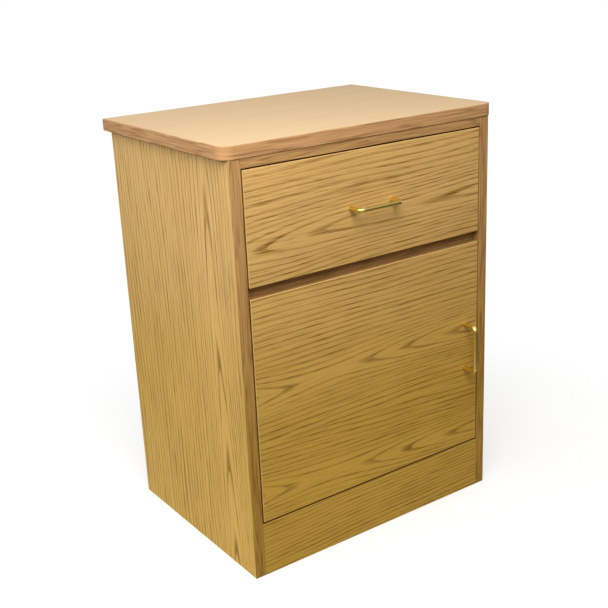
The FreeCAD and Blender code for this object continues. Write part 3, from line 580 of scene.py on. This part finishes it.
# %% [markdown]
# No board leaves a workshop with a razor edge. The arrises that can be touched are rounded by
# half a millimetre or so, and those of the drawer's box by more, which is what catches the
# light along a board's edge. Only edges on the outside of the piece's own box are eased, so
# joints between a band and its board stay tight.

# %% Eased copies of the boards
def outer_edges(shape, low, high, side):
    """Edges along the outside of the box, or only those on one side of it."""
    def walls(vertex):
        return {(axis, end) for axis in range(3)
                for end, wall in ((-1, low[axis]), (1, high[axis]))
                if abs(vertex.co[axis] - wall) < TOUCHING}
    found = []
    for edge in shape.edges:
        shared = walls(edge.verts[0]) & walls(edge.verts[1])
        if len(shared) == 2 and (side is None or side in shared):
            found.append(edge)
    return found


def eased(node, material, radius, side=None):
    """A node's board with the arrises of its box rounded."""
    shape = clean_copy(node)
    edges = outer_edges(shape, *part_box(node), side)
    bmesh.ops.bevel(shape, geom=edges, offset=radius, offset_type="OFFSET", segments=3,
                    profile=0.5, affect="EDGES", clamp_overlap=True)
    mesh = bpy.data.meshes.new(node + "_eased")
    shape.to_mesh(mesh)
    shape.free()
    return stand_in(new_object(node + "_eased", mesh), node, material)


FRONT, BACK = (Y, -1), (Y, 1)
TIGHT, ARRIS, HANDLED, BOX_ARRIS = 0.3 * MM, 0.5 * MM, 0.9 * MM, 1.5 * MM
eased("door_edge_band", band_thin, HANDLED)
eased("drawer_front_band", band_thin, HANDLED)
for hand in ("left", "right"):
    eased("side_edge_band_" + hand, band_upright, ARRIS, FRONT)
    eased("side_panel_" + hand, oak_side, ARRIS, BACK)
    eased("drawer_side_" + hand, birch_deep, BOX_ARRIS)
eased("kick_panel", oak_kick, TIGHT, FRONT)
eased("top_rail_edge_band", band_level, TIGHT, FRONT)
eased("divider_edge_band", band_level, TIGHT, FRONT)
eased("shelf_edge_band", band_level, ARRIS, FRONT)
eased("shelf_panel", inner_deep, ARRIS, BACK)
eased("drawer_box_back", birch_wide, BOX_ARRIS)
eased("drawer_box_front", birch_wide, 0.8 * MM)
eased("back_panel", hardboard, TIGHT, BACK)
eased("base_rear_rail", bare_core, TIGHT)
print("eased", len(made_triangles), "boards")

# %% [markdown]
# The top's rim turns two round corners at the front. A machinist's mesh shows those as flats,
# so the rim is drawn again from the same sizes: the outline comes from straight runs and two
# quarter circles, and is swept up through a small section with eased upper and lower arrises.

# %% The top's rim and face
rim_low, rim_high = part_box("top_edge_band")
face_low, face_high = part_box("top_laminate")
RIM_RADIUS = 22.0 * MM
RIM_BAND = face_low.x - rim_low.x
CORNER_STEPS, ARC_STEPS = 28, 4


def top_outline(inset):
    """The top's outline, counter-clockwise from above, drawn in by an inset."""
    radius = RIM_RADIUS - inset
    left, right = rim_low.x + inset, rim_high.x - inset
    near, far = rim_low.y + inset, rim_high.y - inset
    points = []
    for centre_x, start in ((left + radius, math.pi), (right - radius, 1.5 * math.pi)):
        for step in range(CORNER_STEPS + 1):
            angle = start + 0.5 * math.pi * step / CORNER_STEPS
            points.append((centre_x + radius * math.cos(angle),
                           near + radius + radius * math.sin(angle)))
    return points + [(right, far), (left, far)]


def loft(name, rings, closed):
    """A skin through rings of equal length; closed joins the last ring to the first."""
    shape = bmesh.new()
    loops = [[shape.verts.new(point) for point in ring] for ring in rings]
    count = len(loops[0])
    pairs = list(zip(loops, loops[1:])) + ([(loops[-1], loops[0])] if closed else [])
    for lower, upper in pairs:
        for index in range(count):
            following = (index + 1) % count
            shape.faces.new((lower[index], lower[following], upper[following], upper[index]))
    if not closed:
        shape.faces.new(list(reversed(loops[0])))
        shape.faces.new(loops[-1])
    bmesh.ops.recalc_face_normals(shape, faces=shape.faces)
    return weighted(smooth_object(name, shape, 40))


def arc_section(radius):
    """(inset, drop) pairs of a quarter circle from the wall up onto the face."""
    angles = [0.5 * math.pi * k / ARC_STEPS for k in range(ARC_STEPS + 1)]
    return [(radius * (1 - math.cos(a)), radius * (1 - math.sin(a))) for a in angles]


def rim_rings():
    """The rim's outlines, up its outer wall and back down its inner one."""
    easing = arc_section(HANDLED)
    outer = [(inset, rim_low.z + drop) for inset, drop in reversed(easing)]
    outer += [(inset, rim_high.z - drop) for inset, drop in easing]
    inner = [(RIM_BAND, rim_high.z), (RIM_BAND, rim_low.z)]
    return [[(x, y, z) for x, y in top_outline(inset)] for inset, z in outer + inner]


stand_in(loft("top_rim", rim_rings(), True), "top_edge_band", band_rim)
face_rings = [[(x, y, z) for x, y in top_outline(RIM_BAND)] for z in (face_low.z, face_high.z)]
stand_in(loft("top_face", face_rings, False), "top_laminate", top_face)
print("top rim and face:", made_triangles["top_rim"] + made_triangles["top_face"], "triangles")

# %% [markdown]
# The pulls and the screws follow a rule rather than a shape of their own, and Geometry Nodes
# suits that. Every such tree starts with its named inputs and ends in Realize Instances and
# Set Material. Once a tree has run, its plain result is kept and the modifier goes.

# %% Node tree helper
def new_tree(name, inputs):
    """A geometry tree with named inputs, and the helpers that add its nodes and close it."""
    tree = bpy.data.node_groups.new(name, "GeometryNodeTree")
    tree.interface.new_socket("Geometry", in_out="INPUT", socket_type="NodeSocketGeometry")
    for words, kind, value in inputs:
        made = tree.interface.new_socket(words, in_out="INPUT", socket_type="NodeSocket" + kind)
        if value is not None:
            made.default_value = value
    tree.interface.new_socket("Geometry", in_out="OUTPUT", socket_type="NodeSocketGeometry")
    start = tree.nodes.new("NodeGroupInput")

    def add(kind, settings=None, links=None, output=0):
        node = tree.nodes.new(kind)
        for word, value in (settings or {}).items():
            setattr(node, word, value)
        for key, value in (links or {}).items():
            if isinstance(value, bpy.types.NodeSocket):
                tree.links.new(value, node.inputs[key])
            else:
                node.inputs[key].default_value = value
        return node.outputs[output]

    def maths(operation, first, second):
        return add("ShaderNodeMath", {"operation": operation}, {0: first, 1: second})

    def close(geometry, material):
        """Ends the tree in Realize Instances and Set Material."""
        real = add("GeometryNodeRealizeInstances", {}, {"Geometry": geometry})
        painted = add("GeometryNodeSetMaterial", {}, {"Geometry": real, "Material": material})
        tree.links.new(painted, tree.nodes.new("NodeGroupOutput").inputs[0])

    return tree, start.outputs, add, maths, close


def grown(name, mesh, tree, values):
    """Runs a geometry tree on a mesh with values for its inputs, and keeps the plain result."""
    obj = new_object(name, mesh)
    modifier = obj.modifiers.new("grow", "NODES")
    modifier.node_group = tree
    for item in tree.interface.items_tree:
        if item.in_out == "INPUT" and item.name in values:
            modifier[item.identifier] = values[item.name]
    return settled(obj)


print("geometry trees can be opened, closed and grown")

# %% [markdown]
# A wire pull is one rod, bent twice. Four points make a bracket, Fillet Curve bends its two
# corners, and a circle swept along it gives the rod its thickness. Both pulls come from the
# same tree. The door's is turned upright.

# %% The wire pull's tree
BEND_STEPS, ROD_SIDES = 16, 32


def pull_tree():
    tree, given, add, maths, close = new_tree("wire_pull", [
        ("Centres", "Float", 0.0889), ("Reach", "Float", 0.029), ("Bend", "Float", 0.009),
        ("Wire", "Float", 0.008), ("Material", "Material", None)])
    index = add("GeometryNodeInputIndex")
    # Of the four points, 2 and 3 are to the right, and 1 and 2 stand away from the board.
    right = maths("GREATER_THAN", index, 1.5)
    away = maths("LESS_THAN", add("ShaderNodeMath", {"operation": "ABSOLUTE"},
                                  {0: maths("SUBTRACT", index, 1.5)}), 1.0)
    across = maths("MULTIPLY", maths("SUBTRACT", right, 0.5), given["Centres"])
    out = maths("MULTIPLY", away, maths("MULTIPLY", given["Reach"], -1.0))
    line = add("GeometryNodeMeshLine", {}, {"Count": 4})
    place = add("ShaderNodeCombineXYZ", {}, {"X": across, "Y": out})
    bracket = add("GeometryNodeSetPosition", {}, {"Geometry": line, "Position": place})
    path = add("GeometryNodeMeshToCurve", {}, {"Mesh": bracket})
    bent = add("GeometryNodeFilletCurve", {"mode": "POLY"},
               {"Curve": path, "Radius": given["Bend"], "Count": BEND_STEPS})
    ring = add("GeometryNodeCurvePrimitiveCircle", {"mode": "RADIUS"},
               {"Resolution": ROD_SIDES, "Radius": maths("MULTIPLY", given["Wire"], 0.5)})
    rod = add("GeometryNodeCurveToMesh", {},
              {"Curve": bent, "Profile Curve": ring, "Fill Caps": True})
    close(add("GeometryNodeSetShadeSmooth", {}, {"Geometry": rod}), given["Material"])
    return tree


pull_rule = pull_tree()
no_points = bpy.data.meshes.new("no_points")
for node, upright in (("drawer_pull", False), ("door_pull", True)):
    low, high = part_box(node)
    wire = high.x - low.x if upright else high.z - low.z
    length = high.z - low.z if upright else high.x - low.x
    pull = grown(node + "_wire", no_points.copy(), pull_rule,
                 {"Centres": length - wire, "Reach": high.y - low.y - 0.5 * wire,
                  "Wire": wire, "Material": brass})
    seat = Matrix.Translation(((low.x + high.x) / 2, high.y, (low.z + high.z) / 2))
    turn = Matrix.Rotation(math.pi / 2, 4, "Y") if upright else Matrix.Identity(4)
    pull.data.transform(seat @ turn)
    stand_in(pull, node, brass)
    print(pull.name, "wire", round(wire / MM, 2), "mm, over", round(length / MM, 1), "mm")

# %% [markdown]
# Every screw in the cabinet is the same idea: a domed head with a cross-shaped recess, and a
# plain shank. One tree makes a single screw and sets copies on a handful of points, each
# turned to the heading stored on its point and twisted by a seeded random angle, because no
# two screws stop at the same turn.

# %% The screw's tree
def screw_tree():
    tree, given, add, maths, close = new_tree("screw", [
        ("Head", "Float", 0.008), ("Height", "Float", 0.0024), ("Shank", "Float", 0.004),
        ("Length", "Float", 0.02), ("Seed", "Int", 7), ("Material", "Material", None)])
    radius = maths("MULTIPLY", given["Head"], 0.5)
    disc = add("GeometryNodeMeshCylinder", {"fill_type": "NGON"},
               {"Vertices": 28, "Side Segments": 1, "Fill Segments": 6, "Radius": radius,
                "Depth": given["Height"]})
    place = add("GeometryNodeInputPosition")
    x, y, z = (add("ShaderNodeSeparateXYZ", {}, {0: place}, n) for n in range(3))
    out = add("ShaderNodeMath", {"operation": "SQRT"}, {0: maths(
        "ADD", maths("MULTIPLY", x, x), maths("MULTIPLY", y, y))})
    fall = maths("MULTIPLY", maths("POWER", maths("DIVIDE", out, radius), 2.4), 0.62)
    top = maths("GREATER_THAN", z, 0.0)
    drop = maths("MULTIPLY", maths("MULTIPLY", top, fall), given["Height"])
    sink = add("ShaderNodeCombineXYZ", {}, {"Z": maths("MULTIPLY", drop, -1.0)})
    domed = add("GeometryNodeSetPosition", {}, {"Geometry": disc, "Offset": sink})
    slot_long = maths("MULTIPLY", given["Head"], 0.56)
    slot_thin = maths("MULTIPLY", given["Head"], 0.13)
    lift = add("ShaderNodeCombineXYZ", {}, {"Z": maths("MULTIPLY", given["Height"], 0.42)})
    head = domed
    for size_x, size_y in ((slot_long, slot_thin), (slot_thin, slot_long)):
        size = add("ShaderNodeCombineXYZ", {}, {"X": size_x, "Y": size_y, "Z": given["Height"]})
        bar = add("GeometryNodeMeshCube", {}, {"Size": size})
        raised = add("GeometryNodeTransform", {}, {"Geometry": bar, "Translation": lift})
        cutter = tree.nodes.new("GeometryNodeMeshBoolean")
        cutter.operation = "DIFFERENCE"
        tree.links.new(head, cutter.inputs["Mesh 1"])
        tree.links.new(raised, cutter.inputs["Mesh 2"])
        head = cutter.outputs["Mesh"]
    up = add("ShaderNodeCombineXYZ", {}, {"Z": maths("MULTIPLY", given["Height"], 0.5)})
    head = add("GeometryNodeTransform", {}, {"Geometry": head, "Translation": up})
    shank = add("GeometryNodeMeshCylinder", {"fill_type": "NGON"},
                {"Vertices": 16, "Radius": maths("MULTIPLY", given["Shank"], 0.5),
                 "Depth": given["Length"]})
    down = add("ShaderNodeCombineXYZ", {}, {"Z": maths("MULTIPLY", given["Length"], -0.5)})
    shank = add("GeometryNodeTransform", {}, {"Geometry": shank, "Translation": down})
    both = tree.nodes.new("GeometryNodeJoinGeometry")
    for piece in (head, shank):
        tree.links.new(piece, both.inputs[0])
    heading = add("GeometryNodeInputNamedAttribute", {"data_type": "FLOAT_VECTOR"},
                  {"Name": "heading"})
    turn = add("FunctionNodeAlignRotationToVector", {"axis": "Z"}, {"Vector": heading})
    angle = add("FunctionNodeRandomValue", {"data_type": "FLOAT"},
                {2: 0.0, 3: math.pi, "Seed": given["Seed"]}, 1)
    twist = add("FunctionNodeAxisAngleToRotation", {}, {"Axis": (0, 0, 1), "Angle": angle})
    whole = add("FunctionNodeRotateRotation", {"rotation_space": "LOCAL"},
                {"Rotation": turn, "Rotate By": twist})
    set_out = add("GeometryNodeInstanceOnPoints", {},
                  {"Points": given["Geometry"], "Instance": both.outputs[0],
                   "Rotation": whole})
    close(set_out, given["Material"])
    return tree


screw_rule = screw_tree()
print("screw tree:", len(screw_rule.nodes), "nodes")

# %% [markdown]
# A node can hold several plain screws, so each is found as an island of joined points. Its box
# gives the seat of the head and the length of the shank. The heads face backwards, downwards
# or to one side.

# %% Seats of the screws
def islands(node):
    """The (low, high) box of each separate solid of a node."""
    shape = clean_copy(node)
    waiting, found = set(shape.verts), []
    while waiting:
        group, front = set(), [waiting.pop()]
        while front:
            vertex = front.pop()
            group.add(vertex)
            for edge in vertex.link_edges:
                other = edge.other_vert(vertex)
                if other in waiting:
                    waiting.discard(other)
                    front.append(other)
        found.append(tuple(Vector([pick(v.co[axis] for v in group) for axis in range(3)])
                           for pick in (min, max)))
    shape.free()
    return sorted(found, key=lambda box: tuple(round(value, 5) for value in box[0]))


def seats_mesh(name, seats):
    """Points at the seats, each with its heading."""
    mesh = bpy.data.meshes.new(name)
    mesh.from_pydata([seat for seat, _ in seats], [], [])
    heading = mesh.attributes.new("heading", "FLOAT_VECTOR", "POINT")
    for index, (_, direction) in enumerate(seats):
        heading.data[index].vector = direction
    return mesh


def screws(node, axis, facing, head, head_height, seed):
    """Screws in place of a node's plain ones; facing gives each head's sign on the axis."""
    seats, length = [], 0.0
    for low, high in islands(node):
        middle = (low + high) / 2
        sign = facing(middle)
        seat = middle.copy()
        seat[axis] = (high[axis] - head_height) if sign > 0 else (low[axis] + head_height)
        length = high[axis] - low[axis] - head_height
        direction = Vector((0, 0, 0))
        direction[axis] = sign
        seats.append((seat, direction))
    obj = grown(node + "_turned", seats_mesh(node, seats), screw_rule,
                {"Head": head, "Height": head_height, "Shank": SHANK, "Length": length,
                 "Seed": seed, "Material": zinc})
    stand_in(obj, node, zinc)
    print(obj.name, len(seats), "screws,", made_triangles[obj.name], "triangles")


def always(sign):
    return lambda middle: sign


def inward(middle):
    return -1 if middle.x > 0 else 1


def outward(middle):
    return 1 if middle.x > 0 else -1


SHANK = 4.0 * MM
# Width and height of each kind of head.
PAN, LOW_PAN, RUNNER_HEAD = (8 * MM, 2.4 * MM), (8 * MM, 1.6 * MM), (6 * MM, 0.6 * MM)
screws("back_panel_screws", Y, always(1), *LOW_PAN, seed=3)
screws("top_fixing_screws", Z, always(-1), *PAN, seed=4)
screws("door_pull_screws", Y, always(1), *PAN, seed=5)
screws("drawer_pull_screws", Y, always(1), *PAN, seed=6)
screws("drawer_front_screws", Y, always(1), *PAN, seed=7)
screws("runner_cabinet_screws", X, inward, *RUNNER_HEAD, seed=8)
screws("runner_drawer_screws", X, outward, *RUNNER_HEAD, seed=9)

# %% [markdown]
# Rollers, shelf pins and bumpers are turned pieces. Each is a short profile of (along,
# radius) pairs spun about its own axis. The rollers get a rounded tread and a dished hub, the
# pins a collar and a rounded nose, and the bumpers are small soft domes.

# %% Turned pieces
TURN_STEPS = 40


def turned(name, node, profile, seats, material):
    """Spins a profile about each seat's axis; seats are (middle, direction) pairs."""
    shape = bmesh.new()
    for middle, direction in seats:
        frame_of_seat = direction.to_track_quat("Z", "Y").to_matrix().to_4x4()
        frame_of_seat.translation = middle
        loops = []
        for along, radius in profile:
            count = 1 if radius == 0 else TURN_STEPS
            angles = [2 * math.pi * k / TURN_STEPS for k in range(count)]
            loops.append([shape.verts.new(frame_of_seat @ Vector(
                (radius * math.cos(a), radius * math.sin(a), along))) for a in angles])
        closed = profile[0][1] > 0
        for lower, upper in zip(loops, loops[1:] + (loops[:1] if closed else [])):
            for k in range(TURN_STEPS):
                corners = [lower[k % len(lower)], lower[(k + 1) % len(lower)],
                           upper[(k + 1) % len(upper)], upper[k % len(upper)]]
                shape.faces.new(list(dict.fromkeys(corners)))
    bmesh.ops.recalc_face_normals(shape, faces=shape.faces)
    return stand_in(smooth_object(name, shape, 35), node, material)


def roller_profile(outer, bore, width):
    """A rounded tread, two flat flanks with a dished hub, and the bore."""
    half, easing, dish = width / 2, 0.7 * MM, 0.8 * MM
    hub = bore + 1.1 * MM
    rise = [(half - dish, bore), (half - dish, hub), (half, hub + 0.5 * MM),
            (half, outer - easing)]
    rounding = [(half - easing * (1 - math.sin(a)), outer - easing * (1 - math.cos(a)))
                for a in (math.radians(60), math.radians(30), 0.0)]
    upper = rise + rounding
    return upper + [(-along, radius) for along, radius in reversed(upper)]


ROLLER_BORE = 2.6 * MM
for place in ("front", "rear"):
    for hand in ("left", "right"):
        node = "roller_%s_%s" % (place, hand)
        low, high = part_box(node)
        outer, width = (high.z - low.z) / 2, high.x - low.x
        turned(node + "_wheel", node, roller_profile(outer, ROLLER_BORE, width),
               [((low + high) / 2, Vector((1, 0, 0)))], nylon)

pin_profile = [(-9.0, 0), (-9.0, 2.2), (-8.6, 2.5), (0, 2.5), (0, 3.8), (0.2, 4.0), (0.6, 4.0),
               (0.8, 3.8), (0.8, 2.5), (8.3, 2.5), (8.7, 2.3), (9.0, 1.6), (9.0, 0)]
pin_profile = [(along * MM, radius * MM) for along, radius in pin_profile]
pin_seats = []
inner_wall = side_high.x
for low, high in islands("shelf_pins"):
    middle = (low + high) / 2
    sign = -1 if middle.x > 0 else 1
    pin_seats.append((Vector((sign * inner_wall, middle.y, middle.z)), Vector((sign, 0, 0))))
turned("shelf_pins_turned", "shelf_pins", pin_profile, pin_seats, zinc)

bumper_seats = [(Vector(((low.x + high.x) / 2, low.y, (low.z + high.z) / 2)),
                 Vector((0, 1, 0))) for low, high in islands("door_bumpers")]
dome = [(0.0, 0), (0.0, 2.5)] + [(1.2 * math.sin(a), 2.5 * math.cos(a) ** 0.6)
                                 for a in (0.25, 0.6, 0.95, 1.25)] + [(1.2, 0)]
turned("door_bumpers_domed", "door_bumpers", [(a * MM, r * MM) for a, r in dome],
       bumper_seats, soft_clear)
print("rollers, pins and bumpers are turned")

# %% [markdown]
# The runners are rolled steel with a cream coat, and the hinge barrels and links are satin
# nickel. Their shapes are right already, so their copies only shade the rounds smoothly and
# keep the edges crisp. What is left keeps its own mesh and only takes a surface: flat boards
# whose edges are covered by a band or hidden inside.

# %% Runners, hinges and the boards that stay
def smooth_copy(node, material):
    """A node's own shape with smooth rounds and crisp edges."""
    copy = smooth_object(node + "_smooth", clean_copy(node), 30)
    return stand_in(weighted(copy), node, material)


for hand in ("left", "right"):
    for member in ("cabinet", "drawer"):
        smooth_copy("runner_%s_%s" % (member, hand), cream_coat)
for level in ("upper", "lower"):
    for part in ("side_barrel", "door_barrel", "link"):
        smooth_copy("hinge_%s_%s" % (part, level), nickel)

STAYS = {"door_panel": oak_door, "drawer_front_panel": oak_drawer, "top_core": bare_core,
         "top_backer": under_face, "top_front_rail": bare_core, "top_rear_rail": bare_core,
         "divider_panel": inner_deep, "bottom_panel": inner_deep, "drawer_bottom": birch_wide}
for node, material in STAYS.items():
    nodes[node].data.materials.clear()
    nodes[node].data.materials.append(material)
print(len(STAYS), "nodes keep their own mesh;", sum(made_triangles.values()), "new triangles")

# %% [markdown]
# The studio is a pale floor that fades into a white surround. The sky that lights the wood is
# brightest overhead and to the left and dim to the right and below, so the fronts darken
# downwards and the brass has something dark to mirror. A soft lamp close by, high in front,
# gives the fronts their fall of light, and a wider one on the left lights the side. Two weak
# ones keep the right side and the back readable from the other views.

# %% Floor, sky and lamps
def floor():
    """A level sheet that catches the cabinet's shadow and thins out away from it."""
    shape = bmesh.new()
    bmesh.ops.create_grid(shape, x_segments=1, y_segments=1, size=4.0)
    mesh = bpy.data.meshes.new("floor")
    shape.to_mesh(mesh)
    shape.free()
    paint = Paint("floor_white", Specular_IOR_Level=0.1, Roughness=0.9)
    speck = paint.noise(paint.vector(paint.x * 40, paint.y * 40, paint.z), 2.0)
    away = (paint.x * paint.x + paint.y * paint.y).root()
    obj = new_object("floor", mesh)
    mesh.materials.append(paint.finish(
        Base_Color=paint.mixed((0.90, 0.90, 0.90), (0.87, 0.87, 0.87), speck),
        Alpha=away.rise(0.45, 1.15, 0.42, 0.0)))


def sky(seen, low, high):
    """The camera sees one white; the wood is lit by a gradient from low to high."""
    world = bpy.data.worlds.new("studio")
    world.use_nodes = True
    wiring = Wiring(world.node_tree, "Generated")
    upward = wiring.z.rise(-0.3, 0.9, low, high)
    leftward = (wiring.x + wiring.y * 0.5).rise(-0.8, 0.8, 1.15, 0.55)
    ray = wiring.node("ShaderNodeLightPath", output="Is Camera Ray")
    lit = upward * leftward
    colour = wiring.mixed((1.0, 0.84, 0.50), (1.0, 1.0, 1.0), wiring.z.rise(-0.5, 0.5))
    background = world.node_tree.nodes["Background"]
    wiring.feed(background.inputs["Strength"], lit + ray * (seen - lit))
    wiring.feed(background.inputs["Color"], wiring.mixed(colour, (1.0, 1.0, 1.0), ray))
    bpy.context.scene.world = world


def lamp(name, place, target, size, watts, colour=(1, 1, 1)):
    """A round soft lamp at a place, turned to a target."""
    data = bpy.data.lights.new(name, "AREA")
    data.shape, data.size, data.energy, data.color = "DISK", size, watts, colour
    obj = bpy.data.objects.new(name, data)
    bpy.context.scene.collection.objects.link(obj)
    obj.location = place
    obj.visible_camera = False
    obj.rotation_euler = (Vector(target) - Vector(place)).to_track_quat("-Z", "Y").to_euler()


floor()
sky(1.02, 0.10, 0.85)
lamp("near", (-0.55, -0.90, 1.55), (-0.1, -0.2, 0.6), 0.9, 20.0, (1.0, 0.98, 0.90))
lamp("left", (-2.3, -0.2, 1.6), (-0.28, 0, 0.5), 1.2, 24.0)
lamp("right", (2.5, 0.2, 1.1), (0.28, 0, 0.4), 1.3, 11.0)
lamp("back", (-1.0, 2.5, 1.2), (0, 0.2, 0.4), 1.3, 14.0)
bpy.context.scene.view_settings.view_transform = "Standard"
print("floor, sky and four lamps")
